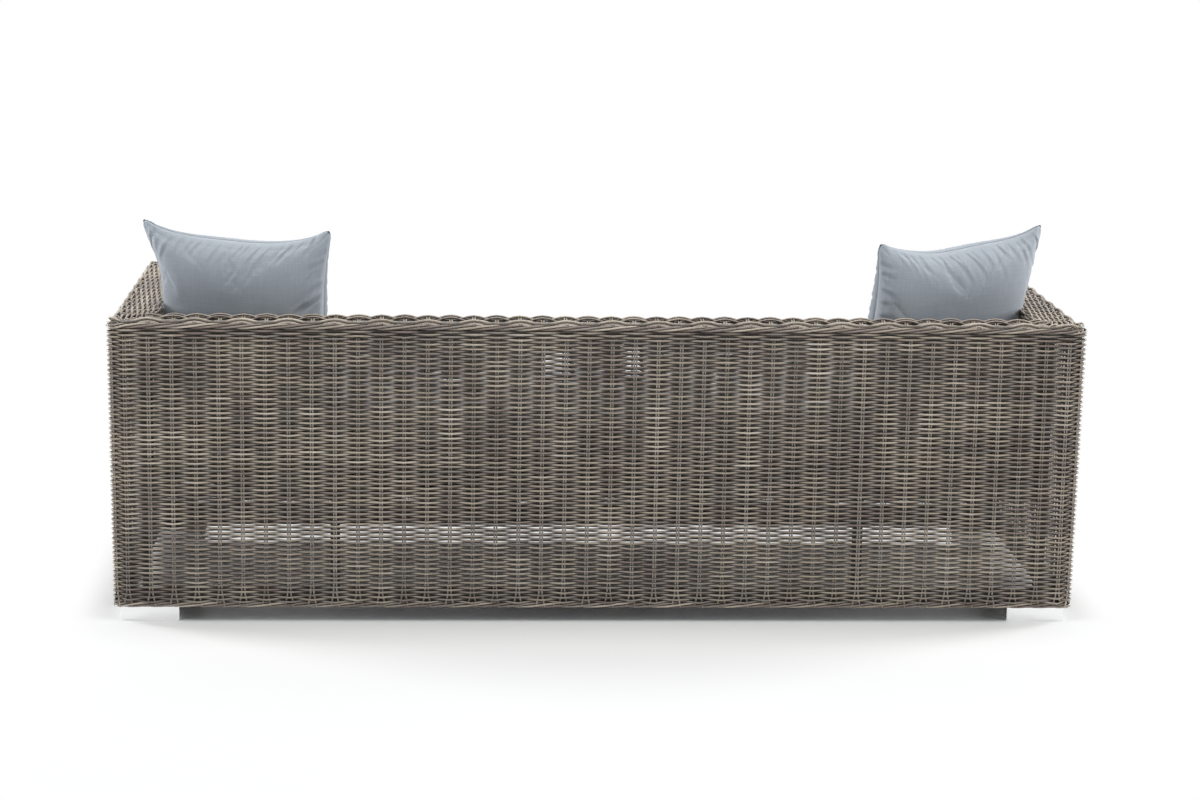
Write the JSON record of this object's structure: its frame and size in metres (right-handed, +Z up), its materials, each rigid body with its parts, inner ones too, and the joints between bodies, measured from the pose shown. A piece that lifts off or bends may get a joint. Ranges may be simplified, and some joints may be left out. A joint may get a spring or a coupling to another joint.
{
  "type": "garden sofa",
  "caption": "Low woven garden sofa with box arms and back level with each other, loose seat cushions, loose corner pillows and flat metal feet.",
  "frame": {"origin": "on the floor, under the middle of the sofa", "axes": "+Z up, +X to the sitter's left along the width, -Y out of the front of the seat, +Y out of the back"},
  "size_m": [2.1, 0.85, 0.8494],
  "materials": {
    "foot_metal": "brushed aluminium",
    "bolt": "zinc-plated steel",
    "frame_tube": "powder-coated aluminium tube, grey-brown",
    "cane": "woven round synthetic cane in weathered grey-brown tones",
    "seat_fabric": "grey-blue outdoor fabric",
    "pillow_fabric": "grey-blue matt fabric, plain"
  },
  "bodies": {
    "frame": {"foot_front_left": "foot_metal", "foot_front_right": "foot_metal", "foot_back_left": "foot_metal", "foot_back_right": "foot_metal", "foot_bolt_front_left": "bolt", "foot_bolt_front_right": "bolt", "foot_bolt_back_left": "bolt", "foot_bolt_back_right": "bolt", "bottom_rail_back": "frame_tube", "bottom_rail_front": "frame_tube", "bottom_rail_inner": "frame_tube", "bottom_rail_left": "frame_tube", "bottom_rail_right": "frame_tube", "corner_post_front_left": "frame_tube", "corner_post_front_right": "frame_tube", "corner_post_back_left": "frame_tube", "corner_post_back_right": "frame_tube", "arm_post_front_left": "frame_tube", "arm_post_front_right": "frame_tube", "arm_post_back_left": "frame_tube", "arm_post_back_right": "frame_tube", "seat_corner_post_left": "frame_tube", "seat_corner_post_right": "frame_tube", "back_strut_left": "frame_tube", "back_strut_right": "frame_tube", "front_strut_left": "frame_tube", "front_strut_right": "frame_tube", "top_rail_back_outer": "frame_tube", "top_rail_back_inner": "frame_tube", "top_rail_left_outer": "frame_tube", "top_rail_left_inner": "frame_tube", "top_rail_right_outer": "frame_tube", "top_rail_right_inner": "frame_tube", "arm_tie_left": "frame_tube", "arm_tie_right": "frame_tube", "seat_rail_front": "frame_tube", "seat_rail_back": "frame_tube", "seat_rail_left": "frame_tube", "seat_rail_right": "frame_tube", "seat_bearer_left": "frame_tube", "seat_bearer_right": "frame_tube", "back_outer_weave": "cane", "back_inner_weave": "cane", "left_arm_outer_weave": "cane", "left_arm_inner_weave": "cane", "left_arm_front_weave": "cane", "right_arm_outer_weave": "cane", "right_arm_inner_weave": "cane", "right_arm_front_weave": "cane", "front_apron_weave": "cane", "seat_deck_weave": "cane", "back_top_weave": "cane", "left_arm_top_weave": "cane", "right_arm_top_weave": "cane"},
    "left_cushion": {"seat_cushion_left": "seat_fabric"},
    "middle_cushion": {"seat_cushion_middle": "seat_fabric"},
    "right_cushion": {"seat_cushion_right": "seat_fabric"},
    "left_pillow": {"corner_pillow_left": "pillow_fabric"},
    "right_pillow": {"corner_pillow_right": "pillow_fabric"}
  },
  "joints": [
    {"name": "left_cushion_lift", "type": "slide", "parent": "frame", "child": "left_cushion", "axis": [0, 0, 1], "range_m": [0, 0.3]},
    {"name": "middle_cushion_lift", "type": "slide", "parent": "frame", "child": "middle_cushion", "axis": [0, 0, 1], "range_m": [0, 0.3]},
    {"name": "right_cushion_lift", "type": "slide", "parent": "frame", "child": "right_cushion", "axis": [0, 0, 1], "range_m": [0, 0.3]},
    {"name": "left_pillow_lift", "type": "slide", "parent": "left_cushion", "child": "left_pillow", "axis": [0, 0, 1], "range_m": [0, 0.35]},
    {"name": "right_pillow_lift", "type": "slide", "parent": "right_cushion", "child": "right_pillow", "axis": [0, 0, 1], "range_m": [0, 0.35]}
  ]
}
